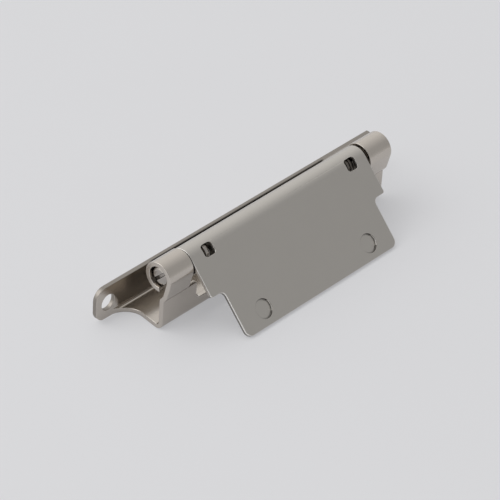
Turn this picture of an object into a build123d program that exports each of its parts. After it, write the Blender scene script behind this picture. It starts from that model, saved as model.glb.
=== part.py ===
"""Sprung hinge: a folded channel bracket with two rolled knuckles, and a rolled leaf between them.

Frame, in millimetres: X runs along the hinge axis, Y from the leaf's side (front) to the tall wall (back),
Z is up. The origin is the middle of the bracket's underside.
"""
from build123d import *
import os
from math import acos, atan2, cos, degrees, hypot, radians, sin, tan

# Hinge axis and its bearing
AXIS_HEIGHT = 14.8
AXIS_TO_BACK = 11.65
PIN_DIAMETER = 5.5
RUNNING_CLEARANCE = 0.05

# Bracket: one folded and rolled sheet
BRACKET_SHEET = 1.2
CHANNEL_WIDTH = 13.6
WALL_HEIGHT = 9.3
LIP_HEIGHT = 3.6
FOLD_RADIUS = 0.8
KNUCKLE_WIDTH = 7.9
KNUCKLE_LEAN = 13.0
KNUCKLE_CURL = 291.0
JOGGLE_TOP = 10.0
JOGGLE_LENGTH = 1.45
CREASE_RADIUS = 0.4
TAB_WIDTH = 11.6
TAB_CORNER = 0.3
LIP_CORNER = 1.6
LUG_LENGTH = 9.6
LEFT_LUG_CORNER = 3.0
RIGHT_LUG_CORNER = 0.5
LUG_FOOT_CORNER = 3.2
FLOOR_END_RADIUS = 5.0
FLOOR_END_INSET = 0.6
HOLE_DIAMETER = 4.3
HOLE_TO_END = 4.0
HOLE_HEIGHT = 4.6

# Leaf: one rolled sheet with a stepped outline
LEAF_SHEET = 1.0
LEAF_WIDTH = 62.4
LEAF_LENGTH = 23.0
LEAF_CURL = 290.0
LEAF_SIDE_PLAY = 1.2
LEAF_LEFT_GAP = 0.3
NOTCH_WIDTH = 4.15
NOTCH_START = 10.3
NOTCH_CORNER = 1.5
SHOULDER_CORNER = 0.6
TIP_CORNER = 1.8
WINDOW_TO_END = 5.6
WINDOW_WIDTH = 3.0
WINDOW_LENGTH = 3.2
WINDOW_CORNER = 0.8
DIMPLE_PITCH = 38.0
DIMPLE_DIAMETER = 5.0
DIMPLE_DEPTH = 0.55
DIMPLE_TO_TIP = 4.1
DIMPLE_SHEAR_GAP = 0.1

# Pins
PIN_RECESS = 0.35
PIN_END_ROUND = 1.5
PIN_SLOT_WIDTH = 0.9
PIN_SLOT_DEPTH = 1.0
PIN_SLOT_ANGLE = 46.0
PIN_GROOVE_DEPTH = 0.8
PIN_GROOVE_WIDTH = 0.8
PIN_HEAD_LENGTH = 2.5
PIN_HEAD_REACH = 2.35
PIN_HEAD_ROUND = 2.0

# Torsion spring of square wire, wound round the right pin's spindle
SPRING_WIRE = 0.8
SPRING_TURNS = 6
SPRING_TURN_GAP = 0.25
SPRING_TO_BARREL = 0.25
SPRING_TO_SPINDLE = 0.3
SPRING_LEG = 7.5
SPRING_TANG = 1.6
SPRING_TO_SHOULDER = 0.35
TANG_SLOT_CLEARANCE = 0.15
SHOULDER_PAST_WINDOW = 1.6
SPINDLE_PAST_COIL = 1.0

# Sizes that follow from the ones above
PIN_RADIUS = PIN_DIAMETER / 2
BORE_RADIUS = PIN_RADIUS + RUNNING_CLEARANCE
HALF_CHANNEL = CHANNEL_WIDTH / 2
AXIS_Y = HALF_CHANNEL - AXIS_TO_BACK
WALL_INSIDE = HALF_CHANNEL - BRACKET_SHEET
KNUCKLE_INNER = (LEAF_WIDTH + LEAF_SIDE_PLAY) / 2
KNUCKLE_OUTER = KNUCKLE_INNER + KNUCKLE_WIDTH
TAB_INNER = KNUCKLE_OUTER - TAB_WIDTH
HALF_LENGTH = KNUCKLE_OUTER + LUG_LENGTH
LEAF_MIDDLE = LEAF_LEFT_GAP - LEAF_SIDE_PLAY / 2
WINDOW_PITCH = LEAF_WIDTH - 2 * WINDOW_TO_END
LEFT_WINDOW = LEAF_MIDDLE - WINDOW_PITCH / 2
RIGHT_WINDOW = LEAF_MIDDLE + WINDOW_PITCH / 2
RIGHT_SHOULDER = RIGHT_WINDOW + WINDOW_WIDTH / 2 + SHOULDER_PAST_WINDOW
COIL_RADIUS = BORE_RADIUS - SPRING_TO_BARREL - SPRING_WIRE / 2
COIL_PITCH = SPRING_WIRE + SPRING_TURN_GAP
COIL_LENGTH = SPRING_TURNS * COIL_PITCH
COIL_START = RIGHT_SHOULDER - SPRING_TO_SHOULDER - SPRING_WIRE / 2 - COIL_LENGTH

# At rest the leaf leans out until its lower edge stands on the surface that the bracket stands on.
# A leaf too short to reach that surface hangs straight down.
LEAF_REACH = hypot(LEAF_LENGTH, BORE_RADIUS)
LEAF_ANGLE = degrees(acos(min(1.0, AXIS_HEIGHT / LEAF_REACH)) - atan2(BORE_RADIUS, LEAF_LENGTH))
REST_ANGLE = max(0.0, LEAF_ANGLE)

# Working planes: a section across the axis, and the leaf's own plane through the axis
SECTION = Plane.YZ
LEAF_OUTWARD = Vector(0, -cos(radians(REST_ANGLE)), sin(radians(REST_ANGLE)))
LEAF_PLANE = Plane(origin=(LEAF_MIDDLE, AXIS_Y, AXIS_HEIGHT), x_dir=(1, 0, 0), z_dir=LEAF_OUTWARD)
FAR = 4 * HALF_LENGTH


def between(section, start, end):
    """A section across the axis, drawn out from one X to another."""
    return extrude(SECTION.offset(start) * section, end - start)


def rolled_sheet(radius, lean, curl):
    """The middle line of a roll about the axis, from where its flat meets it round to its free end."""
    start = 180 + lean
    return CenterArc((AXIS_Y, AXIS_HEIGHT), radius, start, -curl)


def bracket_section(front):
    """Wall, floor and front of the bracket across the axis, up to the point where its front ends."""
    middle = BRACKET_SHEET / 2
    fold = FOLD_RADIUS + middle
    back_line = HALF_CHANNEL - middle
    path = FilletPolyline(
        (back_line, WALL_HEIGHT),
        (back_line, middle),
        (-back_line, middle),
        front,
        radius=fold,
    )
    return trace(path, BRACKET_SHEET)


def strip_ends():
    """Middle-line points of the strip that runs up from a tab into its knuckle: the bend at the tab's top,
    the bend at the strip's foot, and the point where the strip touches the roll.

    The strip leans forward in line with the roll, and stands in front of the tab, so a short joggle joins them.
    """
    radius = BORE_RADIUS + BRACKET_SHEET / 2
    lean = radians(KNUCKLE_LEAN)
    touch = (AXIS_Y - radius * cos(lean), AXIS_HEIGHT - radius * sin(lean))
    foot = (touch[0] + (touch[1] - JOGGLE_TOP) * tan(lean), JOGGLE_TOP)
    tab_top = (BRACKET_SHEET / 2 - HALF_CHANNEL, JOGGLE_TOP - JOGGLE_LENGTH)
    return tab_top, foot, touch


def knuckle_section():
    """The tab's upper half, the joggle and the leaning strip above it, and the roll that the strip runs into."""
    middle = BRACKET_SHEET / 2
    tab_top, foot, touch = strip_ends()
    tab_middle = (tab_top[0], tab_top[1] / 2)
    strip = FilletPolyline(tab_middle, tab_top, foot, touch, radius=CREASE_RADIUS + middle)
    roll = rolled_sheet(BORE_RADIUS + middle, KNUCKLE_LEAN, KNUCKLE_CURL)
    return trace(strip, BRACKET_SHEET) + trace(roll, BRACKET_SHEET)


def floor_end_cut():
    """What is cut from each end of the blank, seen from above: it leaves the lug, the round and the tab."""
    inner = KNUCKLE_OUTER - FLOOR_END_INSET
    round_start = WALL_INSIDE - FLOOR_END_RADIUS
    tab_back = FOLD_RADIUS + BRACKET_SHEET - HALF_CHANNEL
    beyond = HALF_LENGTH + LUG_LENGTH
    edge = Polyline(
        (inner + FLOOR_END_RADIUS, WALL_INSIDE),
        (beyond, WALL_INSIDE),
        (beyond, -CHANNEL_WIDTH),
        (KNUCKLE_OUTER, -CHANNEL_WIDTH),
        (KNUCKLE_OUTER, tab_back),
        (inner, round_start),
    )
    round_centre = (inner + FLOOR_END_RADIUS, round_start)
    corner = CenterArc(round_centre, FLOOR_END_RADIUS, 90, 90)
    return make_face(edge + corner)


def lug_outline():
    """The wall seen from the front, with its lugs' rounded ends: the left one is rounder on top."""
    wall = Pos(0, WALL_HEIGHT / 2) * Rectangle(2 * HALF_LENGTH, WALL_HEIGHT)
    wall = fillet(wall.vertices().group_by(Axis.Y)[0], LUG_FOOT_CORNER)
    left_top = wall.vertices().group_by(Axis.Y)[-1].sort_by(Axis.X)[0]
    wall = fillet(left_top, LEFT_LUG_CORNER)
    right_top = wall.vertices().group_by(Axis.Y)[-1].sort_by(Axis.X)[-1]
    return fillet(right_top, RIGHT_LUG_CORNER)


def tab_outline():
    """One tab seen from the front: rounded inner upper corner, and a round down to the low lip."""
    top = strip_ends()[0][1]
    tab = Pos((TAB_INNER + KNUCKLE_OUTER) / 2, top / 2) * Rectangle(TAB_WIDTH, top)
    inner_corner = tab.vertices().group_by(Axis.Y)[-1].sort_by(Axis.X)[0]
    tab = fillet(inner_corner, TAB_CORNER)
    web = Pos(TAB_INNER - LIP_CORNER / 2, LIP_HEIGHT + LIP_CORNER / 2) * Rectangle(LIP_CORNER, LIP_CORNER)
    web -= Pos(TAB_INNER - LIP_CORNER, LIP_HEIGHT + LIP_CORNER) * Circle(LIP_CORNER)
    return tab + web


def base_bracket():
    """The channel bracket: wall with two lugs, floor, low front lip, and two tabs rolled into knuckles."""
    tab_top = strip_ends()[0]
    channel = between(bracket_section((tab_top[0], LIP_HEIGHT)), -HALF_LENGTH, HALF_LENGTH)
    tabs = between(bracket_section(tab_top), -KNUCKLE_OUTER, KNUCKLE_OUTER)
    tab_shape = tab_outline() + mirror(tab_outline(), Plane.YZ)
    tabs &= extrude(Plane.XZ * tab_shape, FAR, both=True)
    body = channel + tabs
    for side in (-1, 1):
        cut = floor_end_cut() if side > 0 else mirror(floor_end_cut(), Plane.YZ)
        body -= extrude(cut, FAR, both=True)
        body += between(knuckle_section(), side * KNUCKLE_INNER, side * KNUCKLE_OUTER)
        hole = Pos(side * (HALF_LENGTH - HOLE_TO_END), HALF_CHANNEL, HOLE_HEIGHT)
        body -= hole * Rot(X=90) * Cylinder(HOLE_DIAMETER / 2, 4 * BRACKET_SHEET)
    between_lugs = Rectangle(2 * KNUCKLE_OUTER, FAR)
    return body & extrude(Plane.XZ * (lug_outline() + between_lugs), FAR, both=True)


def leaf_outline():
    """The leaf seen square on, in its own plane: full width by the barrel, stepped in towards the tip."""
    half = LEAF_WIDTH / 2
    lower = half - NOTCH_WIDTH
    outline = Rectangle(LEAF_WIDTH, 2 * NOTCH_START)
    outline = fillet(outline.vertices().group_by(Axis.Y)[0], SHOULDER_CORNER)
    tongue = Pos(0, -LEAF_LENGTH / 2) * Rectangle(2 * lower, LEAF_LENGTH)
    tongue = fillet(tongue.vertices().group_by(Axis.Y)[0], TIP_CORNER)
    outline += tongue
    for side in (-1, 1):
        centre = Pos(side * (lower + NOTCH_CORNER), -NOTCH_START - NOTCH_CORNER)
        square = Pos(side * (lower + NOTCH_CORNER / 2), -NOTCH_START - NOTCH_CORNER / 2)
        outline += square * Rectangle(NOTCH_CORNER, NOTCH_CORNER) - centre * Circle(NOTCH_CORNER)
    return outline


def swing_leaf():
    """The leaf: barrel rolled over the pins, stepped plate, barrel windows and half-pierced bosses."""
    middle = LEAF_SHEET / 2
    radius = BORE_RADIUS + middle
    tangent = (AXIS_Y + radius * LEAF_OUTWARD.Y, AXIS_HEIGHT + radius * LEAF_OUTWARD.Z)
    down = (LEAF_OUTWARD.Z * -LEAF_LENGTH, LEAF_OUTWARD.Y * LEAF_LENGTH)
    tip = (tangent[0] + down[0], tangent[1] + down[1])
    section = trace(Line(tip, tangent), LEAF_SHEET)
    section += trace(rolled_sheet(radius, -REST_ANGLE, LEAF_CURL), LEAF_SHEET)
    half = LEAF_WIDTH / 2
    body = between(section, LEAF_MIDDLE - half, LEAF_MIDDLE + half)
    body &= extrude(LEAF_PLANE * leaf_outline(), FAR, both=True)
    face = BORE_RADIUS + LEAF_SHEET
    for side in (-1, 1):
        window = LEAF_PLANE.offset(BORE_RADIUS / 2) * Pos(side * WINDOW_PITCH / 2, 0)
        body -= extrude(window * RectangleRounded(WINDOW_WIDTH, WINDOW_LENGTH, WINDOW_CORNER), BORE_RADIUS)
        place = Pos(side * DIMPLE_PITCH / 2, DIMPLE_TO_TIP - LEAF_LENGTH)
        recess = LEAF_PLANE.offset(face - DIMPLE_DEPTH) * place
        boss = LEAF_PLANE.offset(BORE_RADIUS - DIMPLE_DEPTH) * place
        body -= extrude(recess * Circle(DIMPLE_DIAMETER / 2), 2 * DIMPLE_DEPTH)
        boss_face = Circle(DIMPLE_DIAMETER / 2 - DIMPLE_SHEAR_GAP)
        body += extrude(boss * boss_face, LEAF_SHEET)
    return body


def turned(profile):
    """A half profile, drawn as distance along X and radius, turned about the hinge axis."""
    plane = Plane(origin=(0, AXIS_Y, AXIS_HEIGHT), x_dir=(1, 0, 0), z_dir=(0, -1, 0))
    return revolve(plane * profile, Axis((0, AXIS_Y, AXIS_HEIGHT), (1, 0, 0)))


def bar(start, end, radius):
    """Half profile of a plain cylinder from one X to another."""
    return Pos((start + end) / 2, radius / 2) * Rectangle(abs(end - start), radius)


def rounded_end(profile, x, rounding):
    """A pin's half profile with its outer corner at one end rounded."""
    corner = profile.vertices().sort_by_distance((x, PIN_RADIUS, 0))[0]
    return fillet(corner, rounding)


def driver_slot(outer_end):
    """The slot across a pin's outer end."""
    turn = Pos(outer_end, AXIS_Y, AXIS_HEIGHT) * Rot(X=-PIN_SLOT_ANGLE)
    return turn * Box(2 * PIN_SLOT_DEPTH, 2 * PIN_DIAMETER, PIN_SLOT_WIDTH)


def left_pin():
    """The left pin: slotted outer end, and a grooved, domed inner end under the leaf's left window."""
    outer_end = PIN_RECESS - KNUCKLE_OUTER
    inner_end = LEFT_WINDOW + PIN_HEAD_REACH
    groove = inner_end - PIN_HEAD_LENGTH
    profile = rounded_end(bar(outer_end, inner_end, PIN_RADIUS), outer_end, PIN_END_ROUND)
    profile = rounded_end(profile, inner_end, PIN_HEAD_ROUND)
    groove_middle = Pos(groove - PIN_GROOVE_WIDTH / 2, PIN_RADIUS)
    profile -= groove_middle * Rectangle(PIN_GROOVE_WIDTH, 2 * PIN_GROOVE_DEPTH)
    return turned(profile) - driver_slot(outer_end)


def coil_plane(x):
    """A plane across the axis whose own X points square out of the leaf and whose Y runs down the leaf."""
    return Plane(origin=(x, AXIS_Y, AXIS_HEIGHT), x_dir=LEAF_OUTWARD, z_dir=(1, 0, 0))


def right_pin():
    """The right pin: slotted outer end, slotted inner shoulder, and the spring's spindle beyond it."""
    outer_end = KNUCKLE_OUTER - PIN_RECESS
    profile = rounded_end(bar(RIGHT_SHOULDER, outer_end, PIN_RADIUS), outer_end, PIN_END_ROUND)
    slot_depth = SPRING_TANG + TANG_SLOT_CLEARANCE
    slot_width = SPRING_WIRE + 2 * TANG_SLOT_CLEARANCE
    slot_middle = coil_plane(RIGHT_SHOULDER) * Pos(0, -SPRING_WIRE / 2)
    slot = slot_middle * Box(2 * PIN_DIAMETER, slot_width, 2 * slot_depth)
    spindle_radius = COIL_RADIUS - SPRING_WIRE / 2 - SPRING_TO_SPINDLE
    spindle = bar(COIL_START - SPINDLE_PAST_COIL, RIGHT_SHOULDER + 2 * slot_depth, spindle_radius)
    return turned(profile) - slot - driver_slot(outer_end) + turned(spindle)


def torsion_spring():
    """The spring: a coil, a straight leg under the leaf's plate, and a tang in the right pin's slot."""
    wire = Rectangle(SPRING_WIRE, SPRING_WIRE)
    coil_path = Helix(COIL_PITCH, COIL_LENGTH, COIL_RADIUS, lefthand=True)
    foot = Plane(coil_path @ 0, x_dir=(1, 0, 0), z_dir=coil_path % 0)
    head = Plane(coil_path @ 1, x_dir=(1, 0, 0), z_dir=coil_path % 1)
    coil = sweep(foot * wire, path=coil_path, is_frenet=True)
    leg = extrude(foot * wire, -SPRING_LEG)
    bend = extrude(head * wire, SPRING_WIRE)
    tang_foot = Pos(COIL_RADIUS, -SPRING_WIRE / 2, COIL_LENGTH - SPRING_WIRE / 2)
    tang = extrude(tang_foot * wire, SPRING_WIRE + SPRING_TO_SHOULDER + SPRING_TANG)
    return coil_plane(COIL_START) * (coil + leg + (bend + tang))


os.makedirs("parts", exist_ok=True)
for make in (base_bracket, swing_leaf, left_pin, right_pin, torsion_spring):
    export_step(make(), f"parts/{make.__name__}.step")
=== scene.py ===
from math import cos, pi, radians, sin

import bmesh
import bpy
from mathutils import Matrix, Vector


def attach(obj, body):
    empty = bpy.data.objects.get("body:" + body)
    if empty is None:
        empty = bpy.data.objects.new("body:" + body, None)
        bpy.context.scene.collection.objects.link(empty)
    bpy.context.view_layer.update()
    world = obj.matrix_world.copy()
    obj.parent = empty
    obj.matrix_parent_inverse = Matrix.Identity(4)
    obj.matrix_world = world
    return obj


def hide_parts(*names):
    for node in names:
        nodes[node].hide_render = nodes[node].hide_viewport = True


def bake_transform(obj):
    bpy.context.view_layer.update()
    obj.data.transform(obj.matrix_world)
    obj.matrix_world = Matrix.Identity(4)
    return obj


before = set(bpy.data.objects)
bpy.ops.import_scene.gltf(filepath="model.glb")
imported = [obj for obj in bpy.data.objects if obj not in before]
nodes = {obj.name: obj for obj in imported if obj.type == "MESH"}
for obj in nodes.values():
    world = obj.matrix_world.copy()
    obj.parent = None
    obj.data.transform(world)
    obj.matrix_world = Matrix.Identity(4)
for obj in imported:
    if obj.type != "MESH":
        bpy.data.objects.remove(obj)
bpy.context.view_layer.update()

MM = 0.001

# Sizes that the scene shares with the solids, in millimetres and degrees
AXIS_Y = -4.85
AXIS_HEIGHT = 14.8
REST_ANGLE = 43.36
LEAF_MIDDLE = -0.3
BARREL_RADIUS = 3.8
ROLL_RADII = (2.75, 2.8, BARREL_RADIUS, 4.0)
WALL_INSIDE = 5.6
DIMPLE_PITCH = 38.0
DIMPLE_DOWN = 18.9
COIL_START = 21.35
COIL_RADIUS = 2.15
COIL_PITCH = 1.05
COIL_TURNS = 6
WIRE = 0.8
LEG = 7.5
TANG = 2.35

# Finish of the shapes: millimetres, angles and a factor
WIRE_CORNER = 0.12
WINDOW_STRETCH = 1.17
WELD = 0.001
FLAT_FACETS = radians(0.3)
SHARP_EDGE = radians(35)
ROLL_TOLERANCE = 0.06
ROLL_FACING = 0.985

# Where features are found on the sheets, in millimetres
WINDOW_FROM_MIDDLE = (22.0, 29.0)
WINDOW_REACH = 5.2
DIMPLE_REACH = 2.9
WALL_FOOT = 1.5
PLATE_FRONT = -7.0
LEAF_LEFT = -31.6
SIDES_FROM_MIDDLE = (26.0, 31.4)
WIDE_SIDE = 30.0
WIDE_SIDE_FROM_AXIS = 3.7
NARROW_SIDE_FROM_AXIS = 6.0
TIGHT_GAP = -31.7
TIGHT_GAP_REACH = 1.2

# Where the bands of painted highlight and painted shade grow from nothing to full, in millimetres
HIGHLIGHT_BAND_FROM_FRONT = (-0.42, -0.36)
SHADE_BAND_FROM_MIDDLE = (31.4, 30.4)
SHADE_BAND_ACROSS = (6.05, 5.8)
SHADE_BAND_HEIGHT = (8.8, 9.1)

# Colours that lie over the plate, and shares: a painted highlight, a painted shade on the wall's
# edge, painted shade in the crevices with oil and dust, the share of painted shade on the plate's
# sides, the roughness of cut faces, and the crevice share left in the tight gap
PAINTED_HIGHLIGHT = (0.95, 0.93, 0.90)
PAINTED_GAP_SHADE = (0.06, 0.055, 0.05)
SHADE_AND_OILY_DUST = (0.03, 0.027, 0.025)
SIDE_SHADE = 0.85
SHEAR_ROUGHNESS = 0.2
TIGHT_GAP_SHADE_AND_GRIME = 0.05

# The camera that was fitted to the photograph
CAMERA_PLACE = (-450.448, -380.562, 436.796)
CAMERA_BACK = (-0.612844, -0.519582, 0.595363)
CAMERA_UP = (0.409041, 0.436044, 0.801593)
CAMERA_LENS = 215.455
CAMERA_SENSOR = 36.0

# The leaf's plate as it stands in the photograph
OUT_OF_PLATE = Vector((0, -cos(radians(REST_ANGLE)), sin(radians(REST_ANGLE))))
DOWN_PLATE = Vector((0, -sin(radians(REST_ANGLE)), -cos(radians(REST_ANGLE))))


def on_axis(x):
    """The point of the hinge axis at a place along it in millimetres."""
    return Vector((x, AXIS_Y, AXIS_HEIGHT)) * MM


def spoke_to(place):
    """The line from the hinge axis straight out to a place."""
    return Vector((0, place.y, place.z)) - on_axis(0)


def put(name, data):
    """A new object in the scene."""
    item = bpy.data.objects.new(name, data)
    bpy.context.scene.collection.objects.link(item)
    return item


def plain_mesh(maker):
    """What an object's modifiers make, as a plain mesh. The object itself goes."""
    graph = bpy.context.evaluated_depsgraph_get()
    mesh = bpy.data.meshes.new_from_object(maker.evaluated_get(graph), depsgraph=graph)
    source = maker.data
    bpy.data.objects.remove(maker)
    bpy.data.meshes.remove(source)
    return mesh


# Node helpers

def add(tree, kind, **settings):
    """A node of one kind, with its properties and its unlinked inputs set."""
    node = tree.nodes.new(kind)
    for name, value in settings.items():
        if name.startswith("in_"):
            key = name[3:]
            node.inputs[int(key) if key.isdigit() else key.replace("_", " ")].default_value = value
        else:
            setattr(node, name, value)
    return node


def ramp(tree, value, start, end, low=0.0, high=1.0):
    """Runs from low to high while a socket's value runs from start to end."""
    node = add(tree, "ShaderNodeMapRange", in_From_Min=start, in_From_Max=end,
               in_To_Min=low, in_To_Max=high)
    tree.links.new(value, node.inputs["Value"])
    return node.outputs["Result"]


def band(tree, place, limits, origin=0.0):
    """Grows from nothing to full between two places in millimetres, counted from an origin."""
    start, end = limits
    return ramp(tree, place, origin + start * MM, origin + end * MM)


def times(tree, first, second):
    """The product of two sockets."""
    node = add(tree, "ShaderNodeMath", operation="MULTIPLY")
    tree.links.new(first, node.inputs[0])
    tree.links.new(second, node.inputs[1])
    return node.outputs[0]


def split(tree, place):
    """The X, Y and Z sockets of a place."""
    axes = add(tree, "ShaderNodeSeparateXYZ")
    tree.links.new(place, axes.inputs[0])
    return axes.outputs["X"], axes.outputs["Y"], axes.outputs["Z"]


def object_place(tree):
    """The socket of the object's own coordinates."""
    return add(tree, "ShaderNodeTexCoord").outputs["Object"]


def colour_mix(tree, factor, first, second):
    """A colour between two, by a factor socket. Each colour is a socket or a plain value."""
    mix = add(tree, "ShaderNodeMix", data_type="RGBA")
    tree.links.new(factor, mix.inputs[0])
    for socket, value in ((mix.inputs[6], first), (mix.inputs[7], second)):
        if isinstance(value, tuple):
            socket.default_value = (*value, 1.0)
        else:
            tree.links.new(value, socket)
    return mix.outputs[2]


def paint_over(tree, mask, colour):
    """Lays a colour over the surface's own where the mask is."""
    base = tree.nodes["Principled BSDF"].inputs["Base Color"]
    tree.links.new(colour_mix(tree, mask, base.links[0].from_socket, colour), base)


def patchy(tree, mask, per_metre, least):
    """A mask broken up by small patches, which leave at least a share of it."""
    patches = add(tree, "ShaderNodeTexNoise", in_Detail=3.0)
    tree.links.new(object_place(tree), patches.inputs["Vector"])
    tree.links.new(per_metre, patches.inputs["Scale"])
    return times(tree, mask, ramp(tree, patches.outputs["Fac"], 0.3, 0.6, low=least))


def group(name, inputs, outputs):
    """An empty shader group with named sockets."""
    tree = bpy.data.node_groups.new(name, "ShaderNodeTree")
    for label, value in inputs:
        socket = tree.interface.new_socket(label, in_out="INPUT", socket_type="NodeSocketFloat")
        socket.default_value = value
    for label in outputs:
        tree.interface.new_socket(label, in_out="OUTPUT", socket_type="NodeSocketFloat")
    return tree, add(tree, "NodeGroupInput"), add(tree, "NodeGroupOutput")


# Materials

def rolled_grain_group():
    """Fine streaks along the hinge axis, as satin-finished sheet has, and soft clouds of tone."""
    tree, ins, outs = group(
        "rolled_grain",
        [("Streaks per Metre", 6000.0), ("Streak Length", 25.0), ("Clouds per Metre", 120.0)],
        ["Streaks", "Clouds"],
    )
    link = tree.links.new
    place = object_place(tree)
    along = add(tree, "ShaderNodeMath", operation="DIVIDE")
    link(ins.outputs["Streaks per Metre"], along.inputs[0])
    link(ins.outputs["Streak Length"], along.inputs[1])
    scale = add(tree, "ShaderNodeCombineXYZ")
    link(along.outputs[0], scale.inputs["X"])
    link(ins.outputs["Streaks per Metre"], scale.inputs["Y"])
    link(ins.outputs["Streaks per Metre"], scale.inputs["Z"])
    stretched = add(tree, "ShaderNodeVectorMath", operation="MULTIPLY")
    link(place, stretched.inputs[0])
    link(scale.outputs[0], stretched.inputs[1])
    streaks = add(tree, "ShaderNodeTexNoise", in_Scale=1.0, in_Detail=3.0, in_Roughness=0.6)
    link(stretched.outputs[0], streaks.inputs["Vector"])
    clouds = add(tree, "ShaderNodeTexNoise", in_Detail=4.0, in_Roughness=0.55)
    link(place, clouds.inputs["Vector"])
    link(ins.outputs["Clouds per Metre"], clouds.inputs["Scale"])
    link(streaks.outputs["Fac"], outs.inputs["Streaks"])
    link(clouds.outputs["Fac"], outs.inputs["Clouds"])
    return tree


def worn_edge_group():
    """A mask along sharp edges, broken up by small patches: handling polishes the plate there."""
    tree, ins, outs = group(
        "worn_edge",
        [("Edge Width", 0.00025), ("Patches per Metre", 900.0)],
        ["Edge"],
    )
    link = tree.links.new
    rounded = add(tree, "ShaderNodeBevel", samples=6)
    link(ins.outputs["Edge Width"], rounded.inputs["Radius"])
    face = add(tree, "ShaderNodeNewGeometry")
    turn = add(tree, "ShaderNodeVectorMath", operation="DOT_PRODUCT")
    link(rounded.outputs["Normal"], turn.inputs[0])
    link(face.outputs["True Normal"], turn.inputs[1])
    near = ramp(tree, turn.outputs["Value"], 0.995, 0.86)
    link(patchy(tree, near, ins.outputs["Patches per Metre"], 0.45), outs.inputs["Edge"])
    return tree


def crevice_shade_group():
    """A mask in gaps, slots and corners by ambient occlusion: painted shade where light is shut
    out, partly standing for oil and dust that stay there.
    """
    tree, ins, outs = group(
        "crevice_shade_and_grime",
        [("Reach", 0.0006), ("Amount", 0.6), ("Specks per Metre", 1500.0)],
        ["Grime"],
    )
    link = tree.links.new
    open_sky = add(tree, "ShaderNodeAmbientOcclusion", samples=8)
    link(ins.outputs["Reach"], open_sky.inputs["Distance"])
    closed = ramp(tree, open_sky.outputs["AO"], 0.88, 0.45)
    specked = patchy(tree, closed, ins.outputs["Specks per Metre"], 0.7)
    link(times(tree, specked, ins.outputs["Amount"]), outs.inputs["Grime"])
    return tree


GRAIN = rolled_grain_group()
WEAR = worn_edge_group()
CREVICE_SHADE = crevice_shade_group()


def metal(name, colour, dull, bright, roughness, grain, bump, shade_and_grime, cut_and_shade_tone):
    """A satin metal: streaked grain, clouded tone and polished edges, a painted highlight on
    broken edges, dull cut edges with painted shade on some of them, and painted shade with oil and
    dust in the crevices."""
    material = bpy.data.materials.new(name)
    material.use_nodes = True
    tree = material.node_tree
    link = tree.links.new
    surface = tree.nodes["Principled BSDF"]
    surface.inputs["Metallic"].default_value = 1.0
    streaks, length, clouds = grain
    texture = add(tree, "ShaderNodeGroup", node_tree=GRAIN, in_Streaks_per_Metre=streaks,
                  in_Streak_Length=length, in_Clouds_per_Metre=clouds)
    wear = add(tree, "ShaderNodeGroup", node_tree=WEAR)
    reach, amount = shade_and_grime
    shade_and_dirt = add(tree, "ShaderNodeGroup", node_tree=CREVICE_SHADE, name="shade_and_grime",
               in_Reach=reach, in_Amount=amount)
    edge_highlight = add(tree, "ShaderNodeAttribute", attribute_name="edge_highlight")
    cut_and_shade = add(tree, "ShaderNodeAttribute", attribute_name="cut_and_shade")
    cut_and_shade_colour = tuple(cut_and_shade_tone * value for value in dull)
    clouded = colour_mix(tree, texture.outputs["Clouds"], dull, colour)
    worn = colour_mix(tree, wear.outputs["Edge"], clouded, bright)
    # painted highlight, near white, on the broken edges along the plate's sides
    highlighted = colour_mix(tree, edge_highlight.outputs["Fac"], worn, PAINTED_HIGHLIGHT)
    # cut edges made dull, and painted shade on the dimples' walls and the plate's left sides
    cut = colour_mix(tree, cut_and_shade.outputs["Fac"], highlighted, cut_and_shade_colour)
    # painted shade in gaps, slots and corners from ambient occlusion, with oil and dust
    grimy_and_shaded = colour_mix(tree, shade_and_dirt.outputs["Grime"], cut, SHADE_AND_OILY_DUST)
    link(grimy_and_shaded, surface.inputs["Base Color"])
    smoothest, roughest = roughness
    gloss = ramp(tree, texture.outputs["Streaks"], 0.25, 0.75, smoothest, roughest)
    matt = add(tree, "ShaderNodeMath", operation="MULTIPLY_ADD", in_1=SHEAR_ROUGHNESS)
    link(cut_and_shade.outputs["Fac"], matt.inputs[0])
    link(gloss, matt.inputs[2])
    link(matt.outputs[0], surface.inputs["Roughness"])
    relief = add(tree, "ShaderNodeBump", in_Strength=bump, in_Distance=0.01 * MM)
    link(texture.outputs["Streaks"], relief.inputs["Height"])
    link(relief.outputs["Normal"], surface.inputs["Normal"])
    return material


bracket_sheet = metal(
    "bracket_sheet",
    colour=(0.58, 0.537, 0.49), dull=(0.55, 0.507, 0.46), bright=(0.64, 0.61, 0.565),
    roughness=(0.15, 0.22), grain=(6000.0, 30.0, 140.0), bump=0.12,
    shade_and_grime=(0.0005, 0.6), cut_and_shade_tone=0.56,
)
leaf_sheet = metal(
    "leaf_sheet",
    colour=(0.565, 0.54, 0.505), dull=(0.545, 0.52, 0.485), bright=(0.66, 0.63, 0.585),
    roughness=(0.28, 0.36), grain=(6000.0, 30.0, 120.0), bump=0.15,
    shade_and_grime=(0.0006, 0.8), cut_and_shade_tone=0.35,
)
pin_steel = metal(
    "pin_steel",
    colour=(0.46, 0.43, 0.40), dull=(0.36, 0.335, 0.31), bright=(0.70, 0.67, 0.63),
    roughness=(0.12, 0.20), grain=(7000.0, 1.0, 500.0), bump=0.2,
    shade_and_grime=(0.0007, 0.95), cut_and_shade_tone=0.72,
)
spring_steel = metal(
    "spring_steel",
    colour=(0.20, 0.18, 0.16), dull=(0.12, 0.11, 0.10), bright=(0.40, 0.37, 0.34),
    roughness=(0.25, 0.40), grain=(5000.0, 4.0, 600.0), bump=0.2,
    shade_and_grime=(0.0005, 0.6), cut_and_shade_tone=0.72,
)


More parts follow.
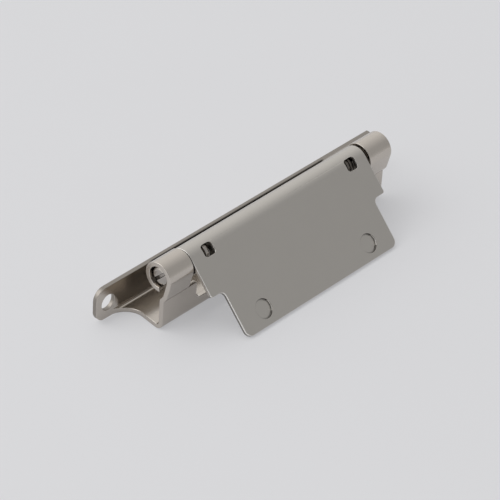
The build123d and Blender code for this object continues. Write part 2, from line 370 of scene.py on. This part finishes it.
def spread_far_pin_shade(material):
    """Lets the painted crevice shade, with its oil and dust, reach further on the spring's pin
    than on the other.
    """
    tree = material.node_tree
    along, _, _ = split(tree, object_place(tree))
    reach = ramp(tree, along, 0.0, 30.0 * MM, low=0.5 * MM, high=1.0 * MM)
    tree.links.new(reach, tree.nodes["shade_and_grime"].inputs["Reach"])


def highlight_plate_sides(material):
    """Painted highlight: a bright band along the front of the plate's left cut sides, standing in
    for light caught on that edge."""
    tree = material.node_tree
    front = on_axis(0).dot(OUT_OF_PLATE) + BARREL_RADIUS * MM
    depth = add(tree, "ShaderNodeVectorMath", operation="DOT_PRODUCT", in_1=OUT_OF_PLATE)
    tree.links.new(object_place(tree), depth.inputs[0])
    near_front = band(tree, depth.outputs["Value"], HIGHLIGHT_BAND_FROM_FRONT, origin=front)
    side = add(tree, "ShaderNodeAttribute", attribute_name="plate_side")
    paint_over(tree, times(tree, side.outputs["Fac"], near_front), PAINTED_HIGHLIGHT)


def shade_wall_edge(material):
    """Painted shade: a dark band on the inner side of the wall's cut top between the knuckles,
    standing in for the shadowed gap between the wall and the barrel."""
    tree = material.node_tree
    along, across, height = split(tree, object_place(tree))
    from_middle = add(tree, "ShaderNodeMath", operation="ABSOLUTE")
    tree.links.new(along, from_middle.inputs[0])
    between_knuckles = band(tree, from_middle.outputs[0], SHADE_BAND_FROM_MIDDLE)
    inner_side = band(tree, across, SHADE_BAND_ACROSS)
    at_top = band(tree, height, SHADE_BAND_HEIGHT)
    mask = times(tree, times(tree, between_knuckles, inner_side), at_top)
    paint_over(tree, mask, PAINTED_GAP_SHADE)


def clear_tight_gap_shade(material):
    """Keeps the painted crevice shade, with its oil and dust, out of the tight gap at the barrel's
    left end, so the gap shows lighter.
    """
    tree = material.node_tree
    shade_and_grime = tree.nodes["shade_and_grime"].inputs["Amount"]
    usual = shade_and_grime.default_value
    along, _, _ = split(tree, object_place(tree))
    near = add(tree, "ShaderNodeMath", operation="COMPARE",
               in_1=TIGHT_GAP * MM, in_2=TIGHT_GAP_REACH * MM)
    tree.links.new(along, near.inputs[0])
    amount = ramp(tree, near.outputs[0], 0.0, 1.0, low=usual, high=TIGHT_GAP_SHADE_AND_GRIME)
    tree.links.new(amount, shade_and_grime)


spread_far_pin_shade(pin_steel)
highlight_plate_sides(leaf_sheet)
shade_wall_edge(bracket_sheet)
clear_tight_gap_shade(bracket_sheet)
clear_tight_gap_shade(leaf_sheet)


# The solids with broken edges

def smooth_rolls(mesh):
    """Gives the faces that are rolled round the hinge axis the true normals of their cylinder."""
    normals = [corner.vector.copy() for corner in mesh.corner_normals]
    for face in mesh.polygons:
        spoke = spoke_to(face.center)
        radius = spoke.length
        if not any(abs(radius - roll * MM) < ROLL_TOLERANCE * MM for roll in ROLL_RADII):
            continue
        facing = face.normal.dot(spoke / radius)
        if abs(facing) < ROLL_FACING:
            continue
        for corner in face.loop_indices:
            out = spoke_to(mesh.vertices[mesh.loops[corner].vertex_index].co)
            normals[corner] = out.normalized() * (1 if facing > 0 else -1)
    mesh.normals_split_custom_set(normals)


def mark_cut_and_painted_faces(mesh):
    """Marks on each face the press's cut edges and where painted highlight and painted shade go on
    the sheets.

    cut_and_shade: the cut edges of the wall and its lugs, which are dull, and, as painted shade,
    the dimples' walls and, a little less, the plate's left sides.
    edge_highlight: the broken edges along the front of the plate's sides, for a painted highlight.
    plate_side: the plate's left sides alone, for the painted highlight band on them.
    """
    foot = (BARREL_RADIUS * OUT_OF_PLATE + DIMPLE_DOWN * DOWN_PLATE) * MM
    dimples = [on_axis(LEAF_MIDDLE + side * DIMPLE_PITCH / 2) + foot for side in (-1, 1)]
    narrowest, widest = SIDES_FROM_MIDDLE
    marks = {"cut_and_shade": [], "edge_highlight": [], "plate_side": []}
    for face in mesh.polygons:
        x, y, z = face.center / MM
        facing = face.normal.dot(OUT_OF_PLATE)
        edge_of_wall = abs(face.normal.y) < 0.5
        out_of_level = abs(facing) < 0.9
        looks_left = face.normal.x < -0.8
        in_wall = edge_of_wall and y > WALL_INSIDE and z > WALL_FOOT
        in_dimple = out_of_level and any(
            (face.center - middle).length < DIMPLE_REACH * MM for middle in dimples)
        in_side = looks_left and y < PLATE_FRONT and x > LEAF_LEFT
        from_middle = abs(x - LEAF_MIDDLE)
        nearest = WIDE_SIDE_FROM_AXIS if from_middle > WIDE_SIDE else NARROW_SIDE_FROM_AXIS
        from_axis = spoke_to(face.center).length / MM
        along_side = narrowest < from_middle < widest and from_axis > nearest
        broken = 0.15 < abs(face.normal.x) < 0.98 and facing > 0.2
        marks["cut_and_shade"].append(1.0 if in_wall or in_dimple else SIDE_SHADE * in_side)
        marks["edge_highlight"].append(float(along_side and broken))
        marks["plate_side"].append(float(in_side))
    for name, values in marks.items():
        mesh.attributes.new(name, "FLOAT", "FACE").data.foreach_set("value", values)


def open_windows(shape):
    """Opens the barrel's two windows a little further along the hinge axis."""
    nearest, furthest = WINDOW_FROM_MIDDLE
    for side in (-1, 1):
        rim = [
            corner for corner in shape.verts
            if nearest < side * (corner.co.x / MM - LEAF_MIDDLE) < furthest
            and spoke_to(corner.co).length < WINDOW_REACH * MM
        ]
        left = min(corner.co.x for corner in rim)
        for corner in rim:
            corner.co.x = left + (corner.co.x - left) * WINDOW_STRETCH


def rounded_piece(name, label, body, material, width):
    """A copy of a solid in its place, with its facets joined
    and its sharp edges rounded by a width in millimetres."""
    shape = bmesh.new()
    shape.from_mesh(nodes[name].data)
    bmesh.ops.remove_doubles(shape, verts=shape.verts, dist=WELD * MM)
    bmesh.ops.dissolve_limit(shape, angle_limit=FLAT_FACETS, verts=shape.verts, edges=shape.edges)
    if name == "swing_leaf":
        open_windows(shape)
    weights = shape.edges.layers.float.new("bevel_weight_edge")
    for edge in shape.edges:
        if edge.is_manifold and edge.calc_face_angle() > SHARP_EDGE:
            edge[weights] = 1.0
    for face in shape.faces:
        face.smooth = True
    sharp = bpy.data.meshes.new(label + "_sharp")
    shape.to_mesh(sharp)
    shape.free()
    maker = put(label + "_sharp", sharp)
    bevel = maker.modifiers.new("broken_edges", "BEVEL")
    bevel.limit_method = "WEIGHT"
    bevel.width = width * MM
    bevel.segments = 3
    bevel.use_clamp_overlap = False
    bevel.miter_outer = "MITER_SHARP"
    shade = maker.modifiers.new("even_shading", "WEIGHTED_NORMAL")
    shade.weight = 60
    mesh = plain_mesh(maker)
    smooth_rolls(mesh)
    mark_cut_and_painted_faces(mesh)
    mesh.name = label
    mesh.materials.clear()
    mesh.materials.append(material)
    piece = put(label, mesh)
    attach(piece, body)
    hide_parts(name)


rounded_piece("base_bracket", "folded_bracket", "bracket", bracket_sheet, 0.12)
rounded_piece("swing_leaf", "rolled_leaf", "leaf", leaf_sheet, 0.10)
rounded_piece("left_pin", "domed_pin", "bracket", pin_steel, 0.07)
rounded_piece("right_pin", "spindle_pin", "bracket", pin_steel, 0.06)


# The spring, drawn by rule

def spring_tree():
    """Square wire along one line: a straight leg, the coil's turns, and a tang along the axis."""
    tree = bpy.data.node_groups.new("square_wire_spring", "GeometryNodeTree")
    tree.interface.new_socket("Geometry", in_out="OUTPUT", socket_type="NodeSocketGeometry")
    for label in ("Coil Radius", "Pitch", "Turns", "Wire", "Wire Corner", "Leg", "Tang"):
        tree.interface.new_socket(label, in_out="INPUT", socket_type="NodeSocketFloat")
    tree.interface.new_socket("Finish", in_out="INPUT", socket_type="NodeSocketMaterial")
    ins = add(tree, "NodeGroupInput")
    outs = add(tree, "NodeGroupOutput")
    link = tree.links.new

    def fed(node, values):
        for socket, value in zip(node.inputs, values):
            if isinstance(value, (int, float)):
                socket.default_value = value
            else:
                link(value, socket)
        return node.outputs[0]

    def number(operation, *values):
        return fed(add(tree, "ShaderNodeMath", operation=operation), values)

    def point(*values):
        return fed(add(tree, "ShaderNodeCombineXYZ"), values)

    def choose(condition, no, yes):
        node = add(tree, "GeometryNodeSwitch", input_type="VECTOR")
        link(condition, node.inputs["Switch"])
        link(no, node.inputs["False"])
        link(yes, node.inputs["True"])
        return node.outputs[0]

    steps_per_turn = 28
    leg_steps = 6
    tang_steps = 4
    coil_steps = number("MULTIPLY", ins.outputs["Turns"], steps_per_turn)
    count = number("ADD", coil_steps, leg_steps + tang_steps + 1)
    line = add(tree, "GeometryNodeMeshLine")
    link(count, line.inputs["Count"])
    index = add(tree, "GeometryNodeInputIndex").outputs[0]
    step = number("SUBTRACT", index, leg_steps)
    on_coil = number("MINIMUM", number("MAXIMUM", step, 0.0), coil_steps)
    turn = number("MULTIPLY", on_coil, -2 * pi / steps_per_turn)
    rise = number("MULTIPLY", number("DIVIDE", on_coil, steps_per_turn), ins.outputs["Pitch"])
    across = number("COSINE", turn)
    down = number("SINE", turn)
    radius = ins.outputs["Coil Radius"]
    wound = point(number("MULTIPLY", across, radius), number("MULTIPLY", down, radius), rise)
    leg_share = number("DIVIDE", number("MINIMUM", step, 0.0), -leg_steps)
    leg_point = point(radius, number("MULTIPLY", leg_share, ins.outputs["Leg"]), 0.0)
    past_coil = number("SUBTRACT", step, coil_steps)
    tang_share = number("DIVIDE", past_coil, tang_steps)
    half_wire = number("DIVIDE", ins.outputs["Wire"], -2.0)
    tang_rise = number("ADD", rise, number("MULTIPLY", tang_share, ins.outputs["Tang"]))
    tang_point = point(radius, half_wire, tang_rise)
    before = number("LESS_THAN", step, 0.0)
    after = number("GREATER_THAN", past_coil, 0.5)
    place = add(tree, "GeometryNodeSetPosition")
    link(line.outputs["Mesh"], place.inputs["Geometry"])
    link(choose(after, choose(before, wound, leg_point), tang_point), place.inputs["Position"])
    wire = add(tree, "GeometryNodeMeshToCurve")
    link(place.outputs["Geometry"], wire.inputs["Mesh"])
    normal = add(tree, "GeometryNodeSetCurveNormal", mode="FREE")
    link(wire.outputs["Curve"], normal.inputs["Curve"])
    link(point(across, down, 0.0), normal.inputs["Normal"])
    square = add(tree, "GeometryNodeCurvePrimitiveQuadrilateral", mode="RECTANGLE")
    link(ins.outputs["Wire"], square.inputs["Width"])
    link(ins.outputs["Wire"], square.inputs["Height"])
    corners = add(tree, "GeometryNodeFilletCurve", mode="POLY", in_Count=2)
    link(square.outputs["Curve"], corners.inputs["Curve"])
    link(ins.outputs["Wire Corner"], corners.inputs["Radius"])
    skin = add(tree, "GeometryNodeCurveToMesh", in_Fill_Caps=True)
    link(normal.outputs["Curve"], skin.inputs["Curve"])
    link(corners.outputs["Curve"], skin.inputs["Profile Curve"])
    whole = add(tree, "GeometryNodeRealizeInstances")
    link(skin.outputs["Mesh"], whole.inputs["Geometry"])
    finish = add(tree, "GeometryNodeSetMaterial")
    link(whole.outputs["Geometry"], finish.inputs["Geometry"])
    link(ins.outputs["Finish"], finish.inputs["Material"])
    link(finish.outputs["Geometry"], outs.inputs["Geometry"])
    return tree


def wound_spring():
    """The spring round the hinge axis, standing still: its leg lies along the leaf's plate, its
    tang sits in the pin, and the coil lies between them."""
    tree = spring_tree()
    maker = put("spring_maker", bpy.data.meshes.new("spring_maker"))
    modifier = maker.modifiers.new("square_wire_spring", "NODES")
    modifier.node_group = tree
    values = {
        "Coil Radius": COIL_RADIUS * MM,
        "Pitch": COIL_PITCH * MM,
        "Turns": float(COIL_TURNS),
        "Wire": WIRE * MM,
        "Wire Corner": WIRE_CORNER * MM,
        "Leg": LEG * MM,
        "Tang": TANG * MM,
        "Finish": spring_steel,
    }
    for item in tree.interface.items_tree:
        if item.in_out == "INPUT":
            modifier[item.identifier] = values[item.name]
    mesh = plain_mesh(maker)
    turned = Matrix((OUT_OF_PLATE, DOWN_PLATE, Vector((1, 0, 0)))).transposed().to_4x4()
    mesh.transform(Matrix.Translation(on_axis(COIL_START)) @ turned)
    shape = bmesh.new()
    shape.from_mesh(mesh)
    bmesh.ops.remove_doubles(shape, verts=shape.verts, dist=WELD * MM)
    bmesh.ops.recalc_face_normals(shape, faces=shape.faces)
    for face in shape.faces:
        face.smooth = len(face.verts) == 4
    shape.to_mesh(mesh)
    shape.free()
    spring = put("wound_spring", mesh)
    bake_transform(spring)
    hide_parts("torsion_spring")


wound_spring()


# Floor, light and camera

def studio_floor(half, seen_glow, mirrored_glow):
    """A plain pale floor, with a share of even glow where the camera or a reflection sees it."""
    mesh = bpy.data.meshes.new("studio_floor")
    corners = [(-half, -half, 0), (half, -half, 0), (half, half, 0), (-half, half, 0)]
    mesh.from_pydata(corners, [], [(0, 1, 2, 3)])
    floor = put("studio_floor", mesh)
    material = bpy.data.materials.new("pale_floor")
    material.use_nodes = True
    tree = material.node_tree
    link = tree.links.new
    surface = tree.nodes["Principled BSDF"]
    surface.inputs["Roughness"].default_value = 0.8
    surface.inputs["Specular IOR Level"].default_value = 0.1
    tooth = add(tree, "ShaderNodeTexNoise", in_Scale=25.0, in_Detail=3.0)
    link(object_place(tree), tooth.inputs["Vector"])
    paper = colour_mix(tree, tooth.outputs["Fac"], (0.785, 0.787, 0.803), (0.805, 0.807, 0.823))
    link(paper, surface.inputs["Base Color"])
    glow = add(tree, "ShaderNodeEmission", in_Color=(0.700, 0.702, 0.724, 1.0))
    ray = add(tree, "ShaderNodeLightPath")
    mirrored = add(tree, "ShaderNodeMath", operation="MULTIPLY", in_1=mirrored_glow)
    link(ray.outputs["Is Glossy Ray"], mirrored.inputs[0])
    share = add(tree, "ShaderNodeMath", operation="MULTIPLY_ADD", in_1=seen_glow)
    link(ray.outputs["Is Camera Ray"], share.inputs[0])
    link(mirrored.outputs[0], share.inputs[2])
    paler = add(tree, "ShaderNodeMixShader")
    link(share.outputs[0], paler.inputs[0])
    link(surface.outputs[0], paler.inputs[1])
    link(glow.outputs[0], paler.inputs[2])
    link(paler.outputs[0], tree.nodes["Material Output"].inputs["Surface"])
    mesh.materials.append(material)


def softbox(name, place, target, size, power):
    """A square white lamp that faces a point."""
    lamp = bpy.data.lights.new(name, "AREA")
    lamp.shape = "SQUARE"
    lamp.size = size
    lamp.energy = power
    holder = put(name, lamp)
    holder.location = place
    holder.rotation_mode = "QUATERNION"
    holder.rotation_quaternion = (Vector(target) - Vector(place)).to_track_quat("-Z", "Y")


def room_light(front, horizon, back_wall):
    """A grey room: paler behind the hinge than in front of it, brighter at the left,
    dim at the far right and dark behind the camera."""
    world = bpy.data.worlds.new("grey_room")
    bpy.context.scene.world = world
    world.use_nodes = True
    tree = world.node_tree
    light = tree.nodes["Background"]
    way = add(tree, "ShaderNodeTexCoord").outputs["Generated"]
    across, depth, height = split(tree, way)
    towards = add(tree, "ShaderNodeVectorMath", operation="DOT_PRODUCT", in_1=CAMERA_BACK)
    tree.links.new(way, towards.inputs[0])
    ahead = colour_mix(tree, ramp(tree, height, 0.25, 0.0), front, horizon)
    walls = colour_mix(tree, ramp(tree, depth, -0.45, 0.5), ahead, back_wall)
    tree.links.new(walls, light.inputs["Color"])
    left = ramp(tree, across, 0.2, -0.5, low=1.0, high=1.4)
    far_right = ramp(tree, across, 0.72, 0.95, low=1.0, high=0.4)
    camera_side = ramp(tree, towards.outputs["Value"], 0.75, 0.95, low=1.0, high=0.25)
    level = times(tree, times(tree, left, far_right), camera_side)
    tree.links.new(level, light.inputs["Strength"])


def photo_camera():
    """The camera in the photograph's place."""
    camera = put("photo_camera", bpy.data.cameras.new("photo_camera"))
    camera.data.sensor_width = CAMERA_SENSOR
    camera.data.lens = CAMERA_LENS
    camera.data.clip_start = 0.01
    camera.data.clip_end = 20.0
    back = Vector(CAMERA_BACK).normalized()
    right = Vector(CAMERA_UP).cross(back).normalized()
    turned = Matrix((right, back.cross(right), back)).transposed().to_4x4()
    camera.matrix_world = Matrix.Translation(Vector(CAMERA_PLACE) * MM) @ turned
    bpy.context.scene.camera = camera


studio_floor(half=3.0, seen_glow=0.48, mirrored_glow=0.36)
room_light(front=(0.48, 0.48, 0.48), horizon=(0.60, 0.60, 0.60), back_wall=(0.86, 0.855, 0.845))
softbox("key_softbox", place=(-0.75, 0.65, 1.1), target=(0, 0, 0), size=1.3, power=5.5)
softbox("left_panel", place=(-1.2, -0.2, 0.30), target=(0, 0, 0.01), size=0.6, power=0.9)
photo_camera()
bpy.context.scene.view_settings.view_transform = "Standard"
